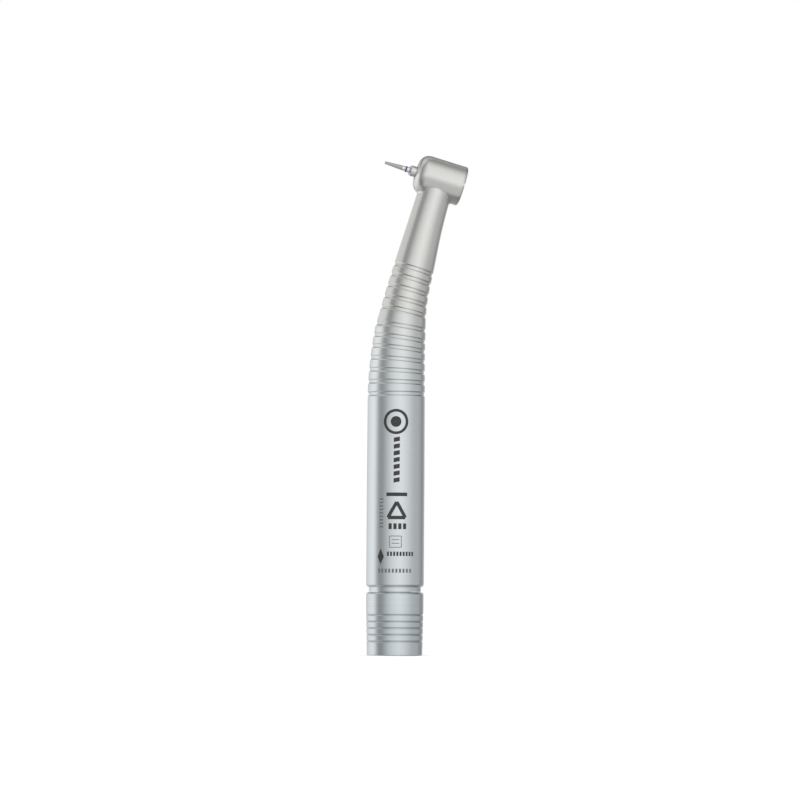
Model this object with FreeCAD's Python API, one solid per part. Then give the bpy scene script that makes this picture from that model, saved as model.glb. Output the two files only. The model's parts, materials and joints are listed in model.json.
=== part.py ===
import FreeCAD, Part
import math
import os
from FreeCAD import Placement, Rotation, Vector

# A dental high speed handpiece, in mm. +Z runs up the grip, the origin is the centre of the
# rear end face, the neck leans towards +X and the bur points towards -X and up.
# Grip parts are dimensioned along Z. Head parts are dimensioned along the head's own axis,
# counted from the head's centre and positive towards the bur.

# ---- driving dimensions -------------------------------------------------------------------

# grip and swivel coupler
BODY_R = 8.0
COLLAR_R = 7.98
COLLAR_END_R = 7.72  # the collar tapers to this at the rear end
COLLAR_TAPER_TOP = 12.5
COLLAR_TOP = 17.55
COLLAR_BORE_R, COLLAR_BORE_TOP = 6.9, 16.2
COLLAR_GROOVES = [3.95, 5.8, 7.62, 9.42, 11.25]
COLLAR_GROOVE_DEPTH, COLLAR_GROOVE_WIDTH = 0.2, 0.54  # V grooves
WAIST_R = 7.2
WAIST_BOTTOM = 17.65  # swivel gap above the collar
GRIP_BOTTOM = 18.9
GRIP_BOTTOM_CHAMFER = 0.6
GRIP_STRAIGHT_TOP = 50.0  # the grip narrows slightly above this
SHELL_BORE_R = 6.8
SHELL_BORE_TOP = 79.0

# outline of the bend and of the neck: (centre x, centre z, lean in degrees, radius)
BEND = [
    (0.0, 71.0, 0.0, 7.94),
    (0.05, 75.7, 1.5, 7.87),
    (0.21, 80.4, 3.8, 7.69),
    (0.53, 85.1, 6.3, 7.43),
    (0.98, 90.0, 8.2, 7.11),
]
SEAM = (1.72, 94.6, 12.0, 6.5)  # where the neck is screwed into the grip
NECK = [
    SEAM,
    (2.61, 99.5, 14.0, 6.05),
    (3.78, 104.4, 16.0, 5.75),
    (4.84, 108.4, 16.4, 5.56),
    (6.99, 116.8, 16.4, 5.06),
    (9.28, 125.1, 16.4, 4.74),
    (11.32, 132.2, 16.4, 4.6),
]
# grip grooves: (centre z, lean in degrees)
BEND_GROOVES = [
    (72.45, 0.0),
    (75.7, 1.5),
    (78.85, 3.0),
    (82.0, 4.6),
    (85.1, 6.3),
    (88.0, 7.7),
    (91.15, 8.5),
]
NECK_GROOVES = [(95.5, 12.3), (98.4, 13.3), (101.4, 15.0), (104.4, 16.0), (107.2, 16.7)]
GROOVE_WIDTH = 1.35
GROOVE_DEPTH = 0.25
GROOVE_SLOPE = 0.33  # width of each slanting groove side

# neck socket in the grip, along the seam's lean
SPIGOT_R = 5.0
SPIGOT_BORE_R = 4.38
SPIGOT_LENGTH = 7.8
NECK_BORE_R = 4.3
NECK_BORE_TOP_R = 3.75
NECK_BORE_END = 5.3  # bore floor to head axis
CORNER_ROUND = 0.7  # where the neck runs into the head

# head
HEAD_X, HEAD_Z, HEAD_TILT = 11.8, 132.58, 16.4
HEAD_R = 5.54
FRONT_FACE = 7.0
FRONT_ROUND = 3.0
CAP_SEAM = -6.0
CAP_BACK = -6.75
CAP_FLOOR = -6.15  # inner face that the button rests on
CAVITY_R = 4.7
CAVITY_FRONT = 2.8
THREAD_R = 4.95
THREAD_END = -4.4
BEARING_SEAT_R = 3.75
SEAT_FRONT = 6.1
FRONT_HOLE_R = 2.3
CAP_HOLE_R = 3.95
BUTTON_R = 3.85
BUTTON_FLANGE_FRONT = -5.7
WEB_HOLE_R, WEB_REAR = 1.35, -5.0

# turbine
BEARING_BORE_R, BEARING_R, BEARING_WIDTH = 1.5875, 3.175, 2.38
BALL_R, BALL_COUNT = 0.5, 8
OUTER_RING_BORE_R, INNER_RING_R = 2.76, 2.0
CAGE_BORE_R, CAGE_R, CAGE_WIDTH = 2.15, 2.62, 1.5
FRONT_BEARING = 3.65  # rear face of each bearing
REAR_BEARING = -3.8
SPINDLE_BORE_R = 1.15
SPINDLE_REAR = -4.1
NOSE_R, NOSE_END = 1.5, 9.0
IMPELLER_R, IMPELLER_REAR, IMPELLER_FRONT = 4.3, -0.9, 2.5
HUB_R, WEB_R, WEB_THICK = 2.5, 3.9, 0.4
BLADE_COUNT, BLADE_THICK, BLADE_SWEEP_R = 12, 0.35, 1.9

# bur, a friction grip shank 1.6 mm thick and a tapered diamond
SHANK_R = 0.8
BUR_REAR, DIAMOND_START, BUR_TIP = -2.9, 11.0, 16.1
CORE_BASE_R, CORE_TIP_R, CORE_END = 0.3, 0.25, 15.5
CHUCK_BORE_R = 0.83
BAND_START, BAND_END = 9.68, 10.12

# air and water lines: (x, y, outer radius, bore radius) of the short pipes at the hose end
LINES = {
    "drive_air_pipe": (0.0, 0.0, 1.2, 0.95),
    "exhaust_pipe": (2.75, 0.0, 1.25, 1.0),
    "water_pipe": (-2.2, -2.2, 0.75, 0.45),
    "chip_air_pipe": (-2.2, 2.2, 0.75, 0.45),
}
DRIVE_TUBE_R, DRIVE_TUBE_BORE_R = 1.0, 0.75
SIDE_TUBE_R, SIDE_TUBE_BORE_R = 0.45, 0.28
COUPLER_R = 6.85  # connector block and stem flange, inside the collar
STEM_R = 4.6
STEM_BORE_R = 4.65
STEM_BOTTOM, STEM_FLANGE_TOP, STEM_TOP = 14.6, 16.15, 44.5
STEM_SEALS = [25.2, 31.0, 36.8, 42.0]
SEAL_GROOVE_R, SEAL_GROOVE_WIDTH = 4.0, 1.2
CLIP_LOW, CLIP_HIGH, CLIP_R, CLIP_GROOVE_R = 21.75, 22.45, 5.6, 4.1
CLIP_ROOM_LOW = 21.6
EXHAUST_PORT, CHIP_AIR_PORT, WATER_PORT = 28.0, 34.0, 39.4
RECEIVER_BOTTOM, RECEIVER_FLOOR, RECEIVER_TOP = 23.2, 45.0, 48.0
RECEIVER_SEAL_R, RECEIVER_SEAL_LOW, RECEIVER_SEAL_HIGH = 6.35, 25.0, 26.2
PORT_GROOVE_R = 5.3
TUBE_SEAT = 1.5  # how deep the drive air tube sits in the receiver
CHANNEL_OFFSET, CHANNEL_R = 5.7, 0.55  # channels in the receiver's wall
SIDE_TUBE_ANGLE = 30.0  # of the side tubes from the -X direction
TUBES_BEND = 64.0  # the tubes are straight up to here
HOSE_THREAD_R, HOSE_THREAD_BOTTOM, HOSE_THREAD_TOP = 6.2, 0.0, 5.5
GASKET_LOW, GASKET_SEAT_TOP = 6.35, 7.2
PIPE_END = 5.9
FILTER_R, FILTER_DEPTH = 1.58, 0.8

FIT = 0.02  # radial gap between parts that are pressed or screwed together


# ---- shape helpers ------------------------------------------------------------------------


def turned(corners, place=None):
    """Solid turned from a closed outline of (radius, height) or (radius, height, rounding)."""
    points = [Vector(c[0], 0, c[1]) for c in corners]
    bends = []
    for i, corner in enumerate(corners):
        here = points[i]
        if len(corner) == 2:
            bends.append((here, None, here))
            continue
        back = (points[i - 1] - here).normalize()
        ahead = (points[(i + 1) % len(points)] - here).normalize()
        half = back.getAngle(ahead) / 2
        reach = corner[2] / math.tan(half)
        middle = (back + ahead).normalize()
        crown = here + middle * (corner[2] / math.sin(half) - corner[2])
        bends.append((here + back * reach, crown, here + ahead * reach))
    edges = []
    for i, (start, crown, end) in enumerate(bends):
        if crown is not None:
            edges.append(Part.Arc(start, crown, end).toShape())
        following = bends[(i + 1) % len(bends)][0]
        if (following - end).Length > 1e-6:
            edges.append(Part.makeLine(end, following))
    solid = Part.Face(Part.Wire(edges)).revolve(Vector(0, 0, 0), Vector(0, 0, 1), 360)
    return put(solid, place)


def put(shape, place):
    if place is not None:
        shape.Placement = place.multiply(shape.Placement)
    return shape


def rod(radius, low, high, x=0.0, y=0.0):
    return Part.makeCylinder(radius, high - low, Vector(x, y, low))


def ring(inner, outer, low, high):
    return rod(outer, low, high).cut(rod(inner, low - 1, high + 1))


def rubber_ring(inner, outer, low, high):
    """Rubber ring with a rounded section that fills its seat."""
    soft = 0.3 * min(outer - inner, high - low)
    return turned([(r, h, soft) for r, h in ((inner, low), (outer, low), (outer, high), (inner, high))])


def leaning(x, z, lean):
    """Frame at a point of the neck's centre line, its own Z along the neck."""
    return Placement(Vector(x, 0, z), Rotation(Vector(0, 1, 0), lean))


def skin(sections, ruled=False):
    """Solid through round sections (x, z, lean, radius)."""
    wires = []
    for x, z, lean, radius in sections:
        wires.append(put(Part.Wire(Part.makeCircle(radius)), leaning(x, z, lean)))
    return Part.makeLoft(wires, True, ruled)


def centre_at(sections, z):
    """Centre line at height z, as (x, z, lean, radius)."""
    for low, high in zip(sections, sections[1:]):
        if z <= high[1]:
            share = (z - low[1]) / (high[1] - low[1])
            return [a + share * (b - a) for a, b in zip(low, high)]
    return list(sections[-1])


def girth(solid, place, height):
    """Centre and radius of the solid's section at a height of a local frame."""
    normal = place.Rotation.multVec(Vector(0, 0, 1))
    point = place.multVec(Vector(0, 0, height))
    outline = solid.slice(normal, normal.dot(point))[0]
    return outline.CenterOfMass, outline.Length / (2 * math.pi)


def grip_groove(solid, sections, z, lean):
    """Cutter for one grip groove: a flat floor between two slanting sides."""
    place = leaning(centre_at(sections, z)[0], z, lean)
    centre, low_r = girth(solid, place, -GROOVE_WIDTH / 2)
    above, high_r = girth(solid, place, GROOVE_WIDTH / 2)
    place.Base = (centre + above) * 0.5
    rise = (high_r - low_r) / GROOVE_WIDTH
    floor = GROOVE_WIDTH / 2 - GROOVE_SLOPE
    floor_r = (low_r + high_r) / 2 - GROOVE_DEPTH
    mouth = floor + 3 * GROOVE_SLOPE  # the cutter's sides run on past the surface
    mouth_r = floor_r + 3 * GROOVE_DEPTH
    return turned(
        [
            (mouth_r - rise * mouth, -mouth),
            (floor_r - rise * floor, -floor),
            (floor_r + rise * floor, floor),
            (mouth_r + rise * mouth, mouth),
        ],
        place,
    )


def tube(start, points, heading, outer, bore):
    """Tube that rises straight from start to the first point, then bends through the others."""
    curve = Part.BSplineCurve()
    curve.interpolate(Points=points, InitialTangent=Vector(0, 0, 1), FinalTangent=heading)
    path = Part.Wire([Part.makeLine(start, points[0]), curve.toShape()])
    solids = []
    for radius in (outer, bore):
        rim = Part.Wire(Part.makeCircle(radius, start, Vector(0, 0, 1)))
        solids.append(path.makePipeShell([rim], True, True))
    return solids[0].cut(solids[1])


# ---- frames -------------------------------------------------------------------------------

TILT = math.radians(HEAD_TILT)
TO_BUR = Vector(-math.cos(TILT), 0, math.sin(TILT))
TO_NECK = Vector(-math.sin(TILT), 0, -math.cos(TILT))
UP_NECK = TO_NECK * -1
# head frame: Z towards the bur, X down the neck, Y the remaining side
HEAD = Placement(
    Vector(HEAD_X, 0, HEAD_Z), Rotation(TO_NECK, TO_BUR.cross(TO_NECK), TO_BUR, "ZXY")
)
NECK_AT_HEAD = 0.35  # where the neck's axis meets the head's axis
NOZZLE_Y, NOZZLE_T, NOZZLE_R = -2.4, 0.8, 1.0  # jet beside the head's centre plane
EXHAUST_Y, EXHAUST_R = 2.3, 1.15
SPRAY_Y, SPRAY_T, SPRAY_X, SPRAY_R = 1.0, 3.45, 4.4, 0.3  # spray drillings in the head frame


# ---- head and neck ------------------------------------------------------------------------


def head_housing():
    outside = turned(
        [(0, CAP_SEAM), (HEAD_R, CAP_SEAM), (HEAD_R, FRONT_FACE, FRONT_ROUND), (0, FRONT_FACE)],
        HEAD,
    )
    neck = skin(NECK)
    for z, lean in NECK_GROOVES:
        neck = neck.cut(grip_groove(neck, NECK, z, lean))
    body = outside.fuse(neck)
    body = body.makeFillet(CORNER_ROUND, neck_corner(body))
    body = body.fuse(put(rod(SPIGOT_R - FIT, -SPIGOT_LENGTH, 0.5), leaning(*SEAM[:3])))
    cavity = turned(
        [
            (0, CAP_SEAM - 1),
            (THREAD_R, CAP_SEAM - 1),
            (THREAD_R, THREAD_END),
            (CAVITY_R, THREAD_END),
            (CAVITY_R, CAVITY_FRONT),
            (BEARING_SEAT_R, CAVITY_FRONT),
            (BEARING_SEAT_R, SEAT_FRONT),
            (FRONT_HOLE_R, SEAT_FRONT),
            (FRONT_HOLE_R, FRONT_FACE + 1),
            (0, FRONT_FACE + 1),
        ],
        HEAD,
    )
    body = body.cut(cavity)
    return body.cut(neck_bore()).cut(drillings()).removeSplitter()


def neck_corner(body):
    """Edges where the neck meets the side of the head."""
    found = []
    for edge in body.Edges:
        points = [HEAD.inverse().multVec(p) for p in edge.discretize(5)]
        on_side = all(abs(math.hypot(p.x, p.y) - HEAD_R) < 0.02 for p in points)
        wide = max(p.y for p in points) - min(p.y for p in points) > 1
        long = max(p.z for p in points) - min(p.z for p in points) > 1
        if on_side and wide and long:
            found.append(edge)
    return found


def neck_bore():
    """Hollow of the neck from the spigot's end to the floor under the head."""
    base = leaning(*SEAM[:3])
    floor = HEAD.multVec(Vector(NECK_BORE_END, 0, NECK_AT_HEAD))
    count = len(NECK) - 1
    sections = []
    for i, (x, z, lean, _) in enumerate(NECK[:-1]):
        radius = NECK_BORE_R + (NECK_BORE_TOP_R - NECK_BORE_R) * i / count
        sections.append((x, z, lean, radius))
    sections.append((floor.x, floor.z, HEAD_TILT, NECK_BORE_TOP_R))
    return skin(sections).fuse(put(rod(SPIGOT_BORE_R, -SPIGOT_LENGTH - 1, 0.3), base))


def drillings():
    """Jet, exhaust and spray drillings between the neck's hollow and the head."""
    deep = NECK_BORE_END + 0.5
    cuts = []
    for radius, y in ((NOZZLE_R, NOZZLE_Y), (EXHAUST_R, EXHAUST_Y)):
        cuts.append(
            Part.makeCylinder(radius, deep - 3, Vector(deep, y, NOZZLE_T), Vector(-1, 0, 0))
        )
    for side in (SPRAY_Y, -SPRAY_Y):
        rise = deep - SPRAY_X + 0.25
        cuts.append(
            Part.makeCylinder(SPRAY_R, rise, Vector(deep, side, SPRAY_T), Vector(-1, 0, 0))
        )
        cuts.append(
            Part.makeCylinder(SPRAY_R, FRONT_FACE - SPRAY_T + 1, Vector(SPRAY_X, side, SPRAY_T))
        )
    return put(cuts[0].fuse(cuts[1:]), HEAD)


def spray_nozzle(side):
    rear, front, hole_r = 4.6, 6.0, 0.14
    bush = rod(SPRAY_R - FIT / 2, rear, front, SPRAY_X, side)
    return put(bush.cut(rod(hole_r, rear - 1, front + 1, SPRAY_X, side)), HEAD)


def drive_nozzle():
    length, throat_r = 1.2, 0.5
    start, inward = Vector(NECK_BORE_END + 0.3, NOZZLE_Y, NOZZLE_T), Vector(-1, 0, 0)
    bush = Part.makeCylinder(NOZZLE_R - FIT, length, start, inward)
    return put(bush.cut(Part.makeCone(DRIVE_TUBE_BORE_R, throat_r, length, start, inward)), HEAD)


def head_cap():
    skirt_bore_r, skirt_front = 4.45, -4.5
    cap = turned(
        [
            (CAP_HOLE_R, CAP_BACK),
            (HEAD_R, CAP_BACK, 0.65),
            (HEAD_R, CAP_SEAM - 0.03),
            (THREAD_R - FIT, CAP_SEAM - 0.03),
            (THREAD_R - FIT, skirt_front),
            (skirt_bore_r, skirt_front),
            (skirt_bore_r, CAP_FLOOR),
            (CAP_HOLE_R, CAP_FLOOR),
        ]
    )
    width, depth = 0.9, 0.45  # spanner notches
    for side in (1, -1):
        notch = Part.makeBox(width, width, depth)
        notch.translate(Vector(-width / 2, side * HEAD_R - width / 2, CAP_BACK - 0.05))
        cap = cap.cut(notch)
    return put(cap, HEAD)


def bearing_carrier():
    spigot_r, skirt_r = 4.45 - FIT, 4.6
    shoulder, skirt_front, web_front = -4.45, -1.6, -4.5
    return turned(
        [
            (WEB_HOLE_R, WEB_REAR),
            (spigot_r, WEB_REAR),
            (spigot_r, shoulder),
            (skirt_r, shoulder),
            (skirt_r, skirt_front),
            (BEARING_SEAT_R, skirt_front),
            (BEARING_SEAT_R, web_front),
            (WEB_HOLE_R, web_front),
        ],
        HEAD,
    )


def push_button():
    crown, flange_r, stem_r, stem_front = 0.18, 4.3, 1.1, -4.7
    flange_rear = CAP_FLOOR + 0.12
    return turned(
        [
            (0, CAP_BACK - crown),
            (2.2, CAP_BACK - crown + 0.03, 2.0),
            (BUTTON_R, CAP_BACK, 0.25),
            (BUTTON_R, flange_rear),
            (flange_r, flange_rear),
            (flange_r, BUTTON_FLANGE_FRONT),
            (stem_r, BUTTON_FLANGE_FRONT),
            (stem_r, stem_front, 0.15),
            (0, stem_front),
        ],
        HEAD,
    )


def coned_washer(inner, inner_low, outer, outer_low, thick):
    """Disc spring: a thin cone between its inner and its outer rim."""
    return turned(
        [(inner, inner_low), (inner, inner_low + thick), (outer, outer_low + thick), (outer, outer_low)],
        HEAD,
    )


def bearing(rear_face):
    """Outer ring, inner ring, ball set and cage of one miniature bearing."""
    middle = rear_face + BEARING_WIDTH / 2
    front = rear_face + BEARING_WIDTH
    pitch = (BEARING_BORE_R + BEARING_R) / 2
    track = Part.makeTorus(pitch, BALL_R + 0.02, Vector(0, 0, middle))
    outer = ring(OUTER_RING_BORE_R, BEARING_R, rear_face, front).cut(track)
    inner = ring(BEARING_BORE_R, INNER_RING_R, rear_face, front).cut(track)
    cage = ring(CAGE_BORE_R, CAGE_R, middle - CAGE_WIDTH / 2, middle + CAGE_WIDTH / 2)
    balls = []
    for i in range(BALL_COUNT):
        angle = 2 * math.pi * (i + 0.5) / BALL_COUNT
        centre = Vector(pitch * math.cos(angle), pitch * math.sin(angle), middle)
        balls.append(Part.makeSphere(BALL_R, centre))
        outward = Vector(centre.x, centre.y, 0)
        cage = cage.cut(Part.makeCylinder(BALL_R + 0.04, 3.0, Vector(0, 0, middle), outward))
    return [put(s, HEAD) for s in (outer, inner, Part.makeCompound(balls), cage)]


def cartridge_ring(low):
    return put(rubber_ring(BEARING_R + 0.01, BEARING_SEAT_R - 0.01, low, low + 0.8), HEAD)


def spindle():
    shaft_r = BEARING_BORE_R - 0.01
    return turned(
        [
            (SPINDLE_BORE_R, SPINDLE_REAR),
            (shaft_r, SPINDLE_REAR, 0.1),
            (shaft_r, SEAT_FRONT),
            (NOSE_R, SEAT_FRONT + 0.1),
            (NOSE_R, NOSE_END - 0.55),
            (SPINDLE_BORE_R + 0.03, NOSE_END),
            (SPINDLE_BORE_R, NOSE_END),
        ],
        HEAD,
    )


def impeller():
    """Bladed wheel: a hub, a thin web and curved plates that run out to the tips."""
    hub = ring(BEARING_BORE_R, HUB_R, IMPELLER_REAR, IMPELLER_FRONT)
    web_low = (IMPELLER_REAR + IMPELLER_FRONT - WEB_THICK) / 2
    wheel = hub.fuse(ring(HUB_R - 0.1, WEB_R, web_low, web_low + WEB_THICK))
    height = IMPELLER_FRONT - IMPELLER_REAR
    blade = ring(BLADE_SWEEP_R, BLADE_SWEEP_R + BLADE_THICK, IMPELLER_REAR, IMPELLER_FRONT)
    blade = blade.common(Part.makeBox(2.1, 3.0, height, Vector(-0.3, 0, IMPELLER_REAR)))
    blade.translate(Vector(HUB_R - 0.1, -BLADE_SWEEP_R, 0))
    blades = []
    for i in range(BLADE_COUNT):
        copy = blade.copy()
        copy.rotate(Vector(0, 0, 0), Vector(0, 0, 1), 360.0 * i / BLADE_COUNT)
        blades.append(copy)
    wheel = wheel.fuse(blades).common(ring(BEARING_BORE_R, IMPELLER_R, IMPELLER_REAR, IMPELLER_FRONT))
    return put(wheel.removeSplitter(), HEAD)


def collet_chuck():
    rear, front, slot_end = -1.95, 4.6, 2.6
    collet = ring(CHUCK_BORE_R, SPINDLE_BORE_R - FIT, rear, front)
    for i in range(3):
        slot = Part.makeBox(2.0, 0.25, slot_end - rear + 1, Vector(0, -0.125, rear - 1))
        slot.rotate(Vector(0, 0, 0), Vector(0, 0, 1), 120.0 * i)
        collet = collet.cut(slot)
    return put(collet, HEAD)


def release_wedge():
    """Cup round the rear of the shank, its rim coned to open the collet."""
    cup_r, cup_bore_r, rim_r = 1.12, 0.87, 0.98
    rear, floor, cone_start, front = -4.35, -3.6, -2.7, -2.4
    return turned(
        [
            (0, rear),
            (cup_r, rear, 0.1),
            (cup_r, cone_start),
            (rim_r, front),
            (cup_bore_r, front),
            (cup_bore_r, floor),
            (0, floor),
        ],
        HEAD,
    )


def bur_shank():
    """Shank with a slightly thinner neck and the core that the diamond is bonded to."""
    neck_r, neck_start = 0.68, 10.4
    return turned(
        [
            (0, BUR_REAR),
            (SHANK_R, BUR_REAR, 0.2),
            (SHANK_R, BAND_END + 0.05),
            (neck_r, neck_start),
            (neck_r, DIAMOND_START),
            (CORE_BASE_R, DIAMOND_START),
            (CORE_TIP_R, CORE_END),
            (0, CORE_END),
        ],
        HEAD,
    )


def bur_diamond():
    base_r, tip_r = 0.685, 0.375
    body = turned(
        [(0, DIAMOND_START + 0.01), (base_r, DIAMOND_START + 0.01), (tip_r, BUR_TIP, 0.2), (0, BUR_TIP)]
    )
    length = CORE_END - DIAMOND_START + 0.02
    core = Part.makeCone(CORE_BASE_R + 0.01, CORE_TIP_R + 0.01, length, Vector(0, 0, DIAMOND_START))
    return put(body.cut(core), HEAD)


# ---- grip ---------------------------------------------------------------------------------


def handle_shell():
    straight = turned(
        [
            (0, GRIP_BOTTOM),
            (BODY_R - GRIP_BOTTOM_CHAMFER, GRIP_BOTTOM),
            (BODY_R, GRIP_BOTTOM + GRIP_BOTTOM_CHAMFER, 0.3),
            (BODY_R, GRIP_STRAIGHT_TOP),
            (BEND[0][3], BEND[0][1]),
            (0, BEND[0][1]),
        ]
    )
    shell = straight.fuse([skin(BEND), skin([BEND[-1], SEAM], ruled=True)])
    shell = shell.removeSplitter()
    for z, lean in BEND_GROOVES:
        shell = shell.cut(grip_groove(shell, BEND + [SEAM], z, lean))
    shell = shell.cut(rod(SHELL_BORE_R, GRIP_BOTTOM - 1, SHELL_BORE_TOP))
    x, z, lean, _ = SEAM
    socket = leaning(x, z, lean)
    root = socket.multVec(Vector(0, 0, -SPIGOT_LENGTH - 0.1))
    funnel = skin([(0, SHELL_BORE_TOP, 0, SHELL_BORE_R), (root.x, root.z, lean, NECK_BORE_R)], ruled=True)
    shell = shell.cut(funnel)
    shell = shell.cut(put(rod(NECK_BORE_R, -SPIGOT_LENGTH - 0.5, 0), socket))
    shell = shell.cut(put(rod(SPIGOT_R, -SPIGOT_LENGTH - 0.05, 1), socket))
    return shell.cut(put(rod(9.0, -0.03, 3), socket))


def side_start(side):
    angle = math.radians(180 - side * SIDE_TUBE_ANGLE)
    return CHANNEL_OFFSET * math.cos(angle), CHANNEL_OFFSET * math.sin(angle)


def neck_point(z, across, y):
    """Point beside the centre line: across is square to it, towards +X."""
    x, z, lean, _ = centre_at(BEND + NECK, z)
    return leaning(x, z, lean).multVec(Vector(across, y, 0))


def drive_air_tube():
    end = HEAD.multVec(Vector(NECK_BORE_END + 0.35, NOZZLE_Y, NOZZLE_T))
    points = [Vector(0, 0, TUBES_BEND)]
    for z, across, y in ((80, 0.2, 1.0), (90, 0.3, 1.7), (102, 0.3, 2.0), (116, 0.0, 2.3)):
        points.append(neck_point(z, across, y))
    start = Vector(0, 0, RECEIVER_TOP - TUBE_SEAT)
    return tube(start, points + [end], UP_NECK, DRIVE_TUBE_R, DRIVE_TUBE_BORE_R)


def side_tube(side):
    x, y = side_start(side)
    end = HEAD.multVec(Vector(NECK_BORE_END + 0.02, -side * SPRAY_Y, SPRAY_T))
    points = [Vector(x, y, TUBES_BEND)]
    for z, across, out in ((77, -3.9, 2.1), (88, -2.3, 1.4), (100, -2.1, 1.2), (116, -2.5, 1.0)):
        points.append(neck_point(z, across, side * out))
    start = Vector(x, y, RECEIVER_TOP + 0.02)
    return tube(start, points + [end], UP_NECK, SIDE_TUBE_R, SIDE_TUBE_BORE_R)


def tube_spacer():
    """Plate that holds the tubes apart, with four holes that let the exhaust air past."""
    low, high = 59.0, 61.0
    vent_offset, vent_r = 4.1, 1.5
    plate = rod(SHELL_BORE_R - FIT, low, high).cut(rod(DRIVE_TUBE_R + FIT, low - 1, high + 1))
    for side in (1, -1):
        x, y = side_start(side)
        plate = plate.cut(rod(SIDE_TUBE_R + FIT, low - 1, high + 1, x, y))
    for angle in (-90, -35, 35, 90):
        x, y = (vent_offset * f(math.radians(angle)) for f in (math.cos, math.sin))
        plate = plate.cut(rod(vent_r, low - 1, high + 1, x, y))
    return plate


def receiver_block():
    """Socket for the stem: each port has a groove round the bore and channels up to its tube."""
    side_channel_r = 0.5
    block = rod(SHELL_BORE_R - FIT, RECEIVER_BOTTOM, RECEIVER_TOP)
    block = block.cut(rod(STEM_BORE_R, RECEIVER_BOTTOM - 1, RECEIVER_FLOOR))
    block = block.cut(rod(LINES["drive_air_pipe"][3], RECEIVER_FLOOR - 1, RECEIVER_TOP + 1))
    block = block.cut(rod(DRIVE_TUBE_R + FIT, RECEIVER_TOP - TUBE_SEAT - FIT, RECEIVER_TOP + 1))
    for port, half in ((EXHAUST_PORT, 1.2), (CHIP_AIR_PORT, 0.7), (WATER_PORT, 0.7)):
        block = block.cut(ring(STEM_BORE_R - 0.5, PORT_GROOVE_R, port - half, port + half))
    for port, side in ((CHIP_AIR_PORT, 1), (WATER_PORT, -1)):
        x, y = side_start(side)
        block = block.cut(rod(side_channel_r, port, RECEIVER_TOP + 1, x, y))
    for angle in (-75, -45, -15, 15, 45, 75):
        x, y = (CHANNEL_OFFSET * f(math.radians(angle)) for f in (math.cos, math.sin))
        block = block.cut(rod(CHANNEL_R, EXHAUST_PORT, RECEIVER_TOP + 1, x, y))
    return block.cut(
        ring(RECEIVER_SEAL_R, SHELL_BORE_R + 1, RECEIVER_SEAL_LOW, RECEIVER_SEAL_HIGH)
    )


def receiver_seal():
    low, high = RECEIVER_SEAL_LOW + 0.1, RECEIVER_SEAL_HIGH - 0.1
    return rubber_ring(RECEIVER_SEAL_R + 0.01, SHELL_BORE_R - 0.01, low, high)


# ---- swivel coupler -----------------------------------------------------------------------


def waist_ring():
    """Ring screwed into the grip's end, with room for the stem's clip behind it."""
    top, clip_room_r = RECEIVER_BOTTOM - 0.03, CLIP_R + 0.3
    return turned(
        [
            (STEM_R + 0.1, WAIST_BOTTOM),
            (WAIST_R, WAIST_BOTTOM),
            (WAIST_R, GRIP_BOTTOM - 0.02),
            (SHELL_BORE_R - FIT, GRIP_BOTTOM - 0.02),
            (SHELL_BORE_R - FIT, top),
            (clip_room_r, top),
            (clip_room_r, CLIP_ROOM_LOW),
            (STEM_R + 0.1, CLIP_ROOM_LOW),
        ]
    )


def rear_collar():
    collar = turned(
        [
            (COLLAR_BORE_R, 0),
            (COLLAR_END_R, 0, 0.25),
            (COLLAR_R, COLLAR_TAPER_TOP),
            (COLLAR_R, COLLAR_TOP, 0.85),
            (STEM_R + 0.1, COLLAR_TOP),
            (STEM_R + 0.1, COLLAR_BORE_TOP),
            (COLLAR_BORE_R, COLLAR_BORE_TOP),
        ]
    )
    rise = (COLLAR_R - COLLAR_END_R) / COLLAR_TAPER_TOP
    for z in COLLAR_GROOVES:
        root_r = COLLAR_END_R + rise * z - COLLAR_GROOVE_DEPTH
        mouth_r = root_r + 2 * COLLAR_GROOVE_DEPTH
        collar = collar.cut(
            turned([(root_r, z), (mouth_r, z - COLLAR_GROOVE_WIDTH), (mouth_r, z + COLLAR_GROOVE_WIDTH)])
        )
    return collar


def coupler_stem():
    stem = turned(
        [
            (0, STEM_BOTTOM),
            (COUPLER_R, STEM_BOTTOM),
            (COUPLER_R, STEM_FLANGE_TOP),
            (STEM_R, STEM_FLANGE_TOP),
            (STEM_R, STEM_TOP, 0.4),
            (0, STEM_TOP),
        ]
    )
    for z in STEM_SEALS:
        low, high = z - SEAL_GROOVE_WIDTH / 2, z + SEAL_GROOVE_WIDTH / 2
        stem = stem.cut(ring(SEAL_GROOVE_R, STEM_R + 1, low, high))
    stem = stem.cut(ring(CLIP_GROOVE_R, STEM_R + 1, CLIP_LOW - 0.05, CLIP_HIGH + 0.05))
    bores = {"drive_air_pipe": STEM_TOP + 1, "exhaust_pipe": EXHAUST_PORT + 1.3,
             "water_pipe": WATER_PORT + 0.7, "chip_air_pipe": CHIP_AIR_PORT + 0.7}
    for name, top in bores.items():
        x, y, _, bore = LINES[name]
        stem = stem.cut(rod(bore, STEM_BOTTOM - 1, top, x, y))
    stem = stem.cut(rod(FILTER_R + FIT, STEM_BOTTOM - 1, STEM_BOTTOM + FILTER_DEPTH))
    ports = ((EXHAUST_PORT, "exhaust_pipe", 0.8), (WATER_PORT, "water_pipe", 0.35),
             (CHIP_AIR_PORT, "chip_air_pipe", 0.35))
    for z, name, radius in ports:
        x, y = LINES[name][:2]
        stem = stem.cut(Part.makeCylinder(radius, 4.0, Vector(x, y, z), Vector(x, y, 0)))
    return stem


def stem_seals():
    half = SEAL_GROOVE_WIDTH / 2 - 0.1
    rings = [rubber_ring(SEAL_GROOVE_R + 0.01, STEM_R + 0.04, z - half, z + half) for z in STEM_SEALS]
    return Part.makeCompound(rings)


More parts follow.
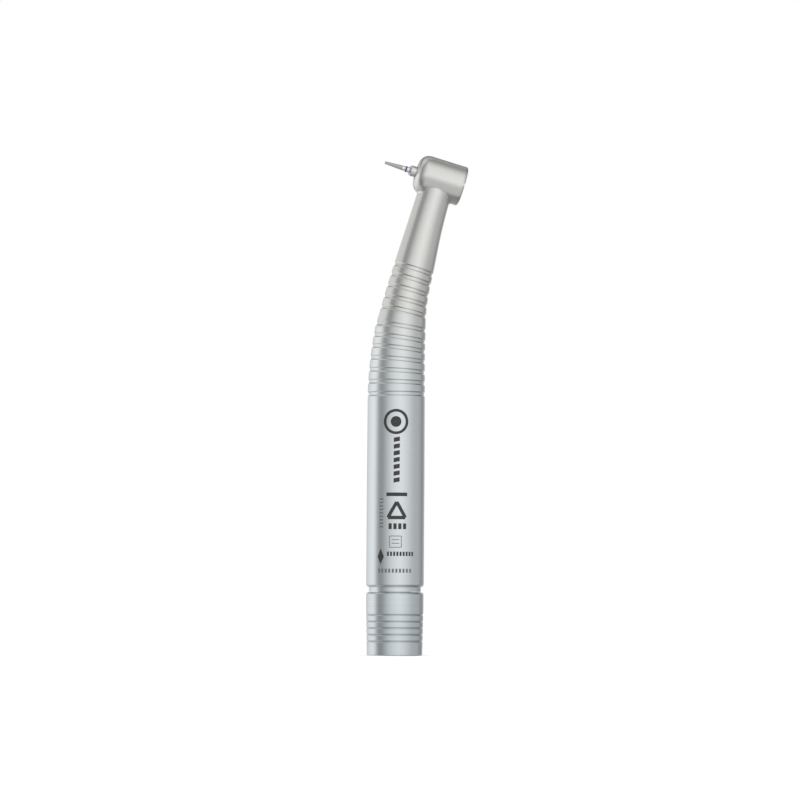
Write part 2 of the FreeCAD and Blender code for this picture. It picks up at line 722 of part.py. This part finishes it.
def stem_clip():
    gap = 3.0
    clip = ring(CLIP_GROOVE_R + FIT, CLIP_R, CLIP_LOW, CLIP_HIGH)
    return clip.cut(Part.makeBox(4.0, gap, 3.0, Vector(3.0, -gap / 2, CLIP_LOW - 1)))


def connector_block():
    relief_r, top = HOSE_THREAD_R - 0.2, STEM_BOTTOM - 0.03
    block = turned(
        [
            (0, GASKET_SEAT_TOP),
            (relief_r, GASKET_SEAT_TOP),
            (relief_r, HOSE_THREAD_TOP),
            (HOSE_THREAD_R, HOSE_THREAD_TOP),
            (HOSE_THREAD_R, HOSE_THREAD_BOTTOM),
            (COUPLER_R, HOSE_THREAD_BOTTOM),
            (COUPLER_R, top),
            (0, top),
        ]
    )
    for x, y, outer, _ in LINES.values():
        block = block.cut(rod(outer + FIT / 2, 0, STEM_BOTTOM + 1, x, y))
    return block


def connector_gasket():
    gasket = rod(HOSE_THREAD_R - 0.25, GASKET_LOW, GASKET_SEAT_TOP - 0.02)
    for x, y, outer, _ in LINES.values():
        gasket = gasket.cut(rod(outer + FIT, 6, 8, x, y))
    return gasket


def hose_pipe(name):
    x, y, outer, bore = LINES[name]
    return rod(outer, PIPE_END, STEM_BOTTOM - 0.05, x, y).cut(rod(bore, 5, 16, x, y))


# ---- the assembly -------------------------------------------------------------------------


def build():
    nodes = {
        "head_housing": head_housing(),
        "head_cap": head_cap(),
        "bearing_carrier": bearing_carrier(),
        "push_button": push_button(),
        "button_spring": coned_washer(1.5, BUTTON_FLANGE_FRONT + 0.03, 3.9, WEB_REAR - 0.13, 0.1),
        "front_cartridge_ring": cartridge_ring(FRONT_BEARING + 0.8),
        "rear_cartridge_ring": cartridge_ring(REAR_BEARING + 0.8),
        "preload_washer": coned_washer(2.75, -3.96, 3.6, -4.47, 0.12),
        "spindle": spindle(),
        "impeller": impeller(),
        "collet_chuck": collet_chuck(),
        "bur_guide": put(ring(CHUCK_BORE_R, SPINDLE_BORE_R - FIT, 4.9, 9.0), HEAD),
        "release_wedge": release_wedge(),
        "dust_shield": put(ring(BEARING_BORE_R + 0.01, 2.15, 6.22, 6.85), HEAD),
        "bur_shank": bur_shank(),
        "bur_diamond": bur_diamond(),
        "bur_band": put(ring(SHANK_R + 0.005, SHANK_R + 0.03, BAND_START, BAND_END), HEAD),
        "water_nozzle": spray_nozzle(SPRAY_Y),
        "air_nozzle": spray_nozzle(-SPRAY_Y),
        "drive_nozzle": drive_nozzle(),
        "handle_shell": handle_shell(),
        "drive_air_tube": drive_air_tube(),
        "chip_air_tube": side_tube(1),
        "water_tube": side_tube(-1),
        "tube_spacer": tube_spacer(),
        "receiver_block": receiver_block(),
        "receiver_seal": receiver_seal(),
        "waist_ring": waist_ring(),
        "rear_collar": rear_collar(),
        "coupler_stem": coupler_stem(),
        "stem_seals": stem_seals(),
        "stem_clip": stem_clip(),
        "connector_block": connector_block(),
        "connector_gasket": connector_gasket(),
        "inlet_filter": rod(FILTER_R, STEM_BOTTOM + 0.03, STEM_BOTTOM + FILTER_DEPTH - 0.05),
    }
    for name in LINES:
        nodes[name] = hose_pipe(name)
    for end, rear_face in (("front", FRONT_BEARING), ("rear", REAR_BEARING)):
        kinds = ("outer_ring", "inner_ring", "balls", "cage")
        for kind, solid in zip(kinds, bearing(rear_face)):
            nodes[f"{end}_bearing_{kind}"] = solid
    return nodes


os.makedirs("parts", exist_ok=True)
for node, solid in build().items():
    solid.exportStep(f"parts/{node}.step")
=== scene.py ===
import json
import math

import bmesh
import bpy
from mathutils import Matrix, Vector


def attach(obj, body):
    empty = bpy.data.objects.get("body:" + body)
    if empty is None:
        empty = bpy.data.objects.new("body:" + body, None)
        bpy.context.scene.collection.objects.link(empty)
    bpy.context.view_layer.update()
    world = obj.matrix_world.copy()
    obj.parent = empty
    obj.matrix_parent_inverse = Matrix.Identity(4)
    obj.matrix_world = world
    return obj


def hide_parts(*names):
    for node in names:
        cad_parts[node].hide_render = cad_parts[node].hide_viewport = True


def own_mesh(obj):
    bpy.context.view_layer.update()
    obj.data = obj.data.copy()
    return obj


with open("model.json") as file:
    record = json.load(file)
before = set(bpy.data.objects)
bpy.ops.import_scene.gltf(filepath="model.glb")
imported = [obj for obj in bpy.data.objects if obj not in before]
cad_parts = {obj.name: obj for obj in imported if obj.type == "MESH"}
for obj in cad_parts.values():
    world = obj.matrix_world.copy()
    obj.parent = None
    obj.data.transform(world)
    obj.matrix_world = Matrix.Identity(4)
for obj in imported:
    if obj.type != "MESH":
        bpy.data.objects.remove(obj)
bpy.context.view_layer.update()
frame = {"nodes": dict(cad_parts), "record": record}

MM = 0.001
NODES = frame["nodes"]


# ---- materials ----------------------------------------------------------------------------

BLAST_GRAIN = 9000  # cells per metre
BLAST_MOTTLES = 900
BLAST_BUMP = 0.00002  # metres
TURNED_GRAIN = 4000
PLAIN_GRAIN = 3000
PLAIN_BUMP = 0.00001
GRIT_GRAIN = 7000
GRIT_BUMP = 0.00005
BRUSHING = (1, 1, 6)  # draws the grain out across a turned piece
TURNING = (0.03, 0.03, 2.0)  # stretches the grain into fine lines round the upright axis

WARM = (0.79, 0.8, 0.77)
COOL = (0.745, 0.795, 0.815)
COLLAR = (0.71, 0.765, 0.79)
BLASTED_ROUGHNESS = 0.3
COLLAR_ROUGHNESS = 0.29
COLLAR_MOTTLING = 0.08
DRIFT_FROM, DRIFT_TO = 0.072, 0.090  # heights in metres between which the grip turns warmer
DRIFT_SHARE = 0.6


def shader(name, colour, metallic, roughness, **fixed):
    """A material and its shader, with every plain number set on the shader itself."""
    mat = bpy.data.materials.new(name)
    mat.use_nodes = True
    bsdf = mat.node_tree.nodes["Principled BSDF"]
    bsdf.inputs["Base Color"].default_value = (*colour, 1)
    bsdf.inputs["Metallic"].default_value = metallic
    bsdf.inputs["Roughness"].default_value = roughness
    for socket, value in fixed.items():
        bsdf.inputs[socket.replace("_", " ")].default_value = value
    return mat, bsdf


def grain(mat, bsdf, scale, strength, distance, stretch=(1, 1, 1)):
    """Fine bump from object-space noise; scale is in cells per metre and distance in metres."""
    tree = mat.node_tree
    coords = tree.nodes.new("ShaderNodeTexCoord")
    mapping = tree.nodes.new("ShaderNodeMapping")
    mapping.inputs["Scale"].default_value = stretch
    noise = tree.nodes.new("ShaderNodeTexNoise")
    noise.inputs["Scale"].default_value = scale
    noise.inputs["Detail"].default_value = 3
    bump = tree.nodes.new("ShaderNodeBump")
    bump.inputs["Strength"].default_value = strength
    bump.inputs["Distance"].default_value = distance
    tree.links.new(coords.outputs["Object"], mapping.inputs["Vector"])
    tree.links.new(mapping.outputs["Vector"], noise.inputs["Vector"])
    tree.links.new(noise.outputs["Fac"], bump.inputs["Height"])
    tree.links.new(bump.outputs["Normal"], bsdf.inputs["Normal"])


def blasted(name, colour, roughness, stretch=(1, 1, 1), mottling=0.03):
    """Bead blasted metal: satin with a very fine grain and faint mottling."""
    mat, bsdf = shader(name, colour, metallic=1.0, roughness=roughness)
    grain(mat, bsdf, BLAST_GRAIN, strength=0.12, distance=BLAST_BUMP, stretch=stretch)
    tree = mat.node_tree
    coords = tree.nodes.new("ShaderNodeTexCoord")
    mapping = tree.nodes.new("ShaderNodeMapping")
    mapping.inputs["Scale"].default_value = stretch
    cloud = tree.nodes.new("ShaderNodeTexNoise")
    cloud.inputs["Scale"].default_value = BLAST_MOTTLES
    ramp = tree.nodes.new("ShaderNodeValToRGB")
    ramp.color_ramp.elements[0].color = (*[c * (1 - mottling) for c in colour], 1)
    ramp.color_ramp.elements[1].color = (*[min(c * (1 + mottling), 1) for c in colour], 1)
    tree.links.new(coords.outputs["Object"], mapping.inputs["Vector"])
    tree.links.new(mapping.outputs["Vector"], cloud.inputs["Vector"])
    tree.links.new(cloud.outputs["Fac"], ramp.inputs["Fac"])
    tree.links.new(ramp.outputs["Color"], bsdf.inputs["Base Color"])
    return mat


def drift(mat, colour, low, high, share):
    """Lets the metal's tint drift part of the way to another one between two heights in metres."""
    tree = mat.node_tree
    tint = tree.nodes["Principled BSDF"].inputs["Base Color"]
    coords = tree.nodes.new("ShaderNodeTexCoord")
    split = tree.nodes.new("ShaderNodeSeparateXYZ")
    reach = tree.nodes.new("ShaderNodeMapRange")
    reach.inputs["From Min"].default_value = low
    reach.inputs["From Max"].default_value = high
    reach.inputs["To Max"].default_value = share
    mix = tree.nodes.new("ShaderNodeMix")
    mix.data_type = "RGBA"
    mix.inputs["B"].default_value = (*colour, 1)
    tree.links.new(tint.links[0].from_socket, mix.inputs["A"])
    tree.links.new(coords.outputs["Object"], split.inputs["Vector"])
    tree.links.new(split.outputs["Z"], reach.inputs["Value"])
    tree.links.new(reach.outputs["Result"], mix.inputs["Factor"])
    tree.links.new(mix.outputs["Result"], tint)


def make_materials():
    made = {
        "cool_steel": blasted("blasted_cool", COOL, BLASTED_ROUGHNESS),
        "warm_steel": blasted("blasted_warm", WARM, BLASTED_ROUGHNESS),
        "collar_steel": blasted("turned_collar", COLLAR, COLLAR_ROUGHNESS, TURNING, COLLAR_MOTTLING),
    }
    plain = {  # colour, metallic, roughness
        "machined_steel": ((0.62, 0.62, 0.63), 1.0, 0.22),
        "bearing_steel": ((0.78, 0.78, 0.78), 1.0, 0.2),
        "shank_steel": ((0.93, 0.93, 0.92), 1.0, 0.25),
        "ball_ceramic": ((0.05, 0.05, 0.055), 0.0, 0.1),
        "cage_plastic": ((0.32, 0.17, 0.06), 0.0, 0.45),
        "black_rubber": ((0.02, 0.02, 0.02), 0.0, 0.6),
        "light_alloy": ((0.72, 0.73, 0.74), 1.0, 0.3),
        "brass_parts": ((0.72, 0.52, 0.22), 1.0, 0.3),
        "diamond_grit": ((0.56, 0.55, 0.52), 0.8, 0.5),
        "blue_band": ((0.03, 0.06, 0.28), 0.0, 0.35),
    }
    for slot, (colour, metallic, roughness) in plain.items():
        mat, bsdf = shader(slot, colour, metallic, roughness)
        if slot == "diamond_grit":
            grain(mat, bsdf, GRIT_GRAIN, strength=0.9, distance=GRIT_BUMP)
        elif slot in ("machined_steel", "light_alloy"):
            grain(mat, bsdf, TURNED_GRAIN, strength=0.08, distance=PLAIN_BUMP, stretch=BRUSHING)
        else:
            grain(mat, bsdf, PLAIN_GRAIN, strength=0.05, distance=PLAIN_BUMP)
        made[slot] = mat
    drift(made["cool_steel"], WARM, DRIFT_FROM, DRIFT_TO, DRIFT_SHARE)
    return made


MATERIALS = make_materials()
OWN_FINISH = {"rear_collar": "collar_steel"}  # a little darker than the grip
for row in frame["record"]["subparts"]:
    mesh = NODES[row["node"]].data
    mesh.materials.clear()
    mesh.materials.append(MATERIALS[OWN_FINISH.get(row["node"], row["material_slot"])])


# ---- laser marks on the grip --------------------------------------------------------------

# Plain shapes stand where the tool carries its printed marks. u is in mm round the grip from the
# marks' middle and z in mm up it.
MARK_R = 8.012  # just proud of the grip
MARK_TURN = -5.5  # degrees round the grip that the marks' middle is turned to
MARK_STEP = 0.4  # size of the marks' mesh cells in mm


def on_grip(u, z):
    angle = math.radians(MARK_TURN) + u / MARK_R
    return (MARK_R * math.sin(angle) * MM, -MARK_R * math.cos(angle) * MM, z * MM)


def grid(verts, faces, rows):
    """Quads between rows of (u, z) points, laid on the grip."""
    start, across = len(verts), len(rows[0])
    for row in rows:
        verts.extend(on_grip(*point) for point in row)
    for i in range(len(rows) - 1):
        for k in range(across - 1):
            a = start + i * across + k
            faces.append((a, a + 1, a + across + 1, a + across))


def sheet(verts, faces, a, b, c, d):
    """Filled four-sided shape, corners in order."""
    n = math.ceil(max(math.dist(a, b), math.dist(c, d)) / MARK_STEP)
    m = math.ceil(max(math.dist(b, c), math.dist(d, a)) / MARK_STEP)
    rows = []
    for j in range(m + 1):
        start = [p + (q - p) * j / m for p, q in zip(a, d)]
        end = [p + (q - p) * j / m for p, q in zip(b, c)]
        rows.append([[p + (q - p) * i / n for p, q in zip(start, end)] for i in range(n + 1)])
    grid(verts, faces, rows)


def bar(verts, faces, u0, u1, z0, z1, slant=0.0):
    """Upright block whose right side is higher by slant."""
    sheet(verts, faces, (u0, z0), (u1, z0 + slant), (u1, z1 + slant), (u0, z1))


def stroke(verts, faces, start, end, width):
    length = math.dist(start, end)
    side_u = (end[1] - start[1]) / length * width / 2
    side_z = (start[0] - end[0]) / length * width / 2
    corners = [(p[0] + s * side_u, p[1] + s * side_z) for p, s in
               ((start, 1), (end, 1), (end, -1), (start, -1))]
    sheet(verts, faces, *corners)


def outline(verts, faces, points, width):
    for i, point in enumerate(points):
        stroke(verts, faces, points[i - 1], point, width)


def hoop(verts, faces, u, z, outer, inner):
    """Flat ring round (u, z), or a disc where inner is next to nothing."""
    turns = [math.radians(10 * i) for i in range(37)]
    steps = math.ceil((outer - inner) / MARK_STEP)
    radii = [inner + (outer - inner) * i / steps for i in range(steps + 1)]
    grid(verts, faces, [[(u + r * math.cos(t), z - r * math.sin(t)) for t in turns] for r in radii])


def bold_marks(verts, faces):
    """A ring round a disc, slanted blocks, a bar, a triangle, blocks, a lozenge and dashes."""
    hoop(verts, faces, 0.0, 64.6, 3.5, 2.75)
    hoop(verts, faces, 0.0, 64.6, 1.5, 0.05)
    for i in range(7):
        z = 47.7 + 1.87 * i
        bar(verts, faces, -0.6, 1.1, z, z + 1.2, 0.35)
    bar(verts, faces, -2.6, 3.3, 44.0, 45.0)
    outline(verts, faces, [(-2.1, 38.1), (2.8, 38.1), (0.35, 42.4)], 0.95)
    for i in range(4):
        bar(verts, faces, -1.9 + 1.35 * i, -1.0 + 1.35 * i, 34.9, 36.5)
    sheet(verts, faces, (-5.2, 27.3), (-4.2, 25.2), (-3.2, 27.3), (-4.2, 29.6))
    for i in range(9):
        bar(verts, faces, -2.3 + 0.88 * i, -1.75 + 0.88 * i, 27.5, 28.7)


def thin_marks(verts, faces):
    """A column of dashes, an outlined square with two lines in it and a row of dashes."""
    for i in range(9):
        bar(verts, faces, -4.7, -3.5, 35.4 + 0.95 * i, 35.75 + 0.95 * i)
    outline(verts, faces, [(-1.6, 29.9), (1.7, 29.9), (1.7, 33.0), (-1.6, 33.0)], 0.2)
    for z in (30.9, 31.9):
        bar(verts, faces, -1.0, 1.1, z, z + 0.2)
    for i in range(10):
        bar(verts, faces, -4.9 + 1.0 * i, -4.35 + 1.0 * i, 22.9, 24.0)


def laser_marks(name, draw, grey):
    verts, faces = [], []
    draw(verts, faces)
    mesh = bpy.data.meshes.new(name)
    mesh.from_pydata(verts, [], faces)
    marks = bpy.data.objects.new(name, mesh)
    bpy.context.scene.collection.objects.link(marks)
    mat, bsdf = shader(name, (grey, grey, grey * 1.04), metallic=0.3, roughness=0.5)
    grain(mat, bsdf, BLAST_GRAIN, strength=0.15, distance=BLAST_BUMP)
    mesh.materials.append(mat)
    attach(marks, "handle")


laser_marks("bold_marks", bold_marks, grey=0.045)
laser_marks("thin_marks", thin_marks, grey=0.16)


# ---- button spring ------------------------------------------------------------------------


def flattening_spring():
    """The button's coned spring as a copy of its own mesh, hung on the handle in place of the imported
    piece.
    """
    disc = bpy.data.objects.new("button_spring_disc", NODES["button_spring"].data.copy())
    bpy.context.scene.collection.objects.link(disc)
    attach(disc, "handle")
    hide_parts("button_spring")
    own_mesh(disc)


flattening_spring()


# ---- studio -------------------------------------------------------------------------------


def plain_mesh(name, verts, faces, mat):
    """A plain mesh with one material, linked into the scene."""
    mesh = bpy.data.meshes.new(name)
    mesh.from_pydata(verts, [], faces)
    mesh.materials.append(mat)
    thing = bpy.data.objects.new(name, mesh)
    bpy.context.scene.collection.objects.link(thing)
    return thing


def glow(name):
    """A plain glowing material, whose colour is linked later."""
    mat = bpy.data.materials.new(name)
    mat.use_nodes = True
    tree = mat.node_tree
    tree.nodes.clear()
    lamp = tree.nodes.new("ShaderNodeEmission")
    lamp.inputs["Strength"].default_value = 1.0
    out = tree.nodes.new("ShaderNodeOutputMaterial")
    tree.links.new(lamp.outputs["Emission"], out.inputs["Surface"])
    return mat


# Brightness of the studio round the object, by degrees from the camera's side, growing to its
# right, and how it changes with the height above the horizon in degrees, on the camera's side
# and behind the object. Lengths are in metres.
AROUND = ((-180, 0.5), (-150, 0.75), (-105, 1.05), (-90, 1.05), (-75, 0.4), (-62, 0.32), (-50, 0.4),
          (-35, 0.65), (-15, 0.9), (20, 1.1), (50, 0.86), (75, 0.6), (105, 0.52), (135, 0.25),
          (160, 0.75), (180, 0.5))
FRONT_UPWARD = ((-90, 0.1), (-75, 0.4), (-65, 0.7), (-30, 0.6), (-14, 0.66), (0, 1.0), (16, 0.9),
                (58, 0.84), (75, 0.66), (90, 0.55))
BACK_UPWARD = ((-90, 0.4), (-45, 0.55), (-15, 0.95), (15, 1.05), (35, 0.25), (60, 0.85), (90, 0.6))
BLEND = 0.45  # how far the two sides run into each other, in tent radii
TENT_R = 2.5
FLOOR_HALF = 6.0
FLOOR_GREY = 0.93
FLOOR_GLOW = 0.2

CAMERA_TURN = -5.5  # degrees round the object
CAMERA_HEIGHT = 0.020
CAMERA_DISTANCE = 1.12
AIM_Z = 0.0709
AIM_RIGHT = 0.00104
ROLL = 0.4  # degrees
SENSOR, LENS = 36, 181.45  # mm


def ramp(tree, stops, source):
    """Grey ramp through (position, brightness) stops."""
    node = tree.nodes.new("ShaderNodeValToRGB")
    points = node.color_ramp.elements
    for _ in range(len(stops) - 2):
        points.new(0.5)
    for point, (position, grey) in zip(points, stops):
        point.position = position
        point.color = (grey, grey, grey, 1)
    tree.links.new(source, node.inputs["Fac"])
    return node


def span(tree, source, reach, kind="LINEAR"):
    """Turns a distance from -reach to reach into 0 to 1."""
    node = tree.nodes.new("ShaderNodeMapRange")
    node.interpolation_type = kind
    node.inputs["From Min"].default_value = -reach
    node.inputs["From Max"].default_value = reach
    tree.links.new(source, node.inputs["Value"])
    return node.outputs["Result"]


def tent():
    """Closed glowing sphere that only reflections see, shaded like a studio."""
    mat = glow("tent")
    tree = mat.node_tree
    coords = tree.nodes.new("ShaderNodeTexCoord")
    turn = tree.nodes.new("ShaderNodeTexGradient")
    turn.gradient_type = "RADIAL"
    tree.links.new(coords.outputs["Object"], turn.inputs["Vector"])
    split = tree.nodes.new("ShaderNodeSeparateXYZ")
    tree.links.new(coords.outputs["Object"], split.inputs["Vector"])
    around = ramp(tree, [(a / 360 + 0.5, g) for a, g in AROUND], turn.outputs["Fac"])
    height = span(tree, split.outputs["Z"], TENT_R)
    sides = []
    for stops in (BACK_UPWARD, FRONT_UPWARD):
        heights = [(math.sin(math.radians(a)) / 2 + 0.5, g) for a, g in stops]
        sides.append(ramp(tree, heights, height).outputs["Color"])
    upward = tree.nodes.new("ShaderNodeMix")
    upward.data_type = "RGBA"
    tree.links.new(span(tree, split.outputs["X"], BLEND * TENT_R, "SMOOTHSTEP"), upward.inputs["Factor"])
    tree.links.new(sides[0], upward.inputs["A"])
    tree.links.new(sides[1], upward.inputs["B"])
    both = tree.nodes.new("ShaderNodeVectorMath")
    both.operation = "MULTIPLY"
    tree.links.new(around.outputs["Color"], both.inputs[0])
    tree.links.new(upward.outputs["Result"], both.inputs[1])
    tree.links.new(both.outputs["Vector"], tree.nodes["Emission"].inputs["Color"])

    ball = bmesh.new()
    bmesh.ops.create_uvsphere(ball, u_segments=96, v_segments=48, radius=TENT_R)
    mesh = bpy.data.meshes.new("tent")
    ball.to_mesh(mesh)
    ball.free()
    mesh.materials.append(mat)
    thing = bpy.data.objects.new("tent", mesh)
    bpy.context.scene.collection.objects.link(thing)
    a = math.radians(CAMERA_TURN)
    back, right = Vector((math.sin(a), -math.cos(a), 0)), Vector((math.cos(a), math.sin(a), 0))
    facing = Matrix((back, right, (0, 0, 1))).transposed().to_4x4()
    thing.matrix_world = Matrix.Translation((0, 0, AIM_Z)) @ facing
    thing.visible_camera = False
    thing.visible_diffuse = False
    thing.visible_shadow = False
    thing.visible_transmission = False


def camera():
    data = bpy.data.cameras.new("camera")
    data.sensor_width = SENSOR
    data.lens = LENS
    data.clip_start, data.clip_end = 0.05, 50
    cam = bpy.data.objects.new("camera", data)
    bpy.context.scene.collection.objects.link(cam)
    a = math.radians(CAMERA_TURN)
    back = Vector((math.sin(a), -math.cos(a), 0))
    right = Vector((math.cos(a), math.sin(a), 0))
    aim = right * AIM_RIGHT + Vector((0, 0, AIM_Z))
    place = back * CAMERA_DISTANCE + right * AIM_RIGHT + Vector((0, 0, CAMERA_HEIGHT))
    look = (aim - place).to_track_quat("-Z", "Y")
    turn = Matrix.Rotation(math.radians(ROLL), 4, "Z")
    cam.matrix_world = Matrix.Translation(place) @ look.to_matrix().to_4x4() @ turn
    bpy.context.scene.camera = cam


def studio():
    world = bpy.data.worlds.new("studio")
    world.use_nodes = True
    world.node_tree.nodes["Background"].inputs["Color"].default_value = (1, 1, 1, 1)
    world.node_tree.nodes["Background"].inputs["Strength"].default_value = 1.0
    bpy.context.scene.world = world
    bpy.context.scene.view_settings.view_transform = "Standard"

    colour = (FLOOR_GREY, FLOOR_GREY, FLOOR_GREY)
    floor_mat, floor = shader("floor", colour, metallic=0.0, roughness=0.9, Specular_IOR_Level=0.0)
    floor.inputs["Emission Color"].default_value = (1, 1, 1, 1)
    floor.inputs["Emission Strength"].default_value = FLOOR_GLOW
    corners = [(x * FLOOR_HALF, y * FLOOR_HALF, 0) for x, y in ((-1, -1), (1, -1), (1, 1), (-1, 1))]
    ground = plain_mesh("floor", corners, [(0, 1, 2, 3)], floor_mat)
    ground.visible_glossy = False
    tent()


camera()
studio()
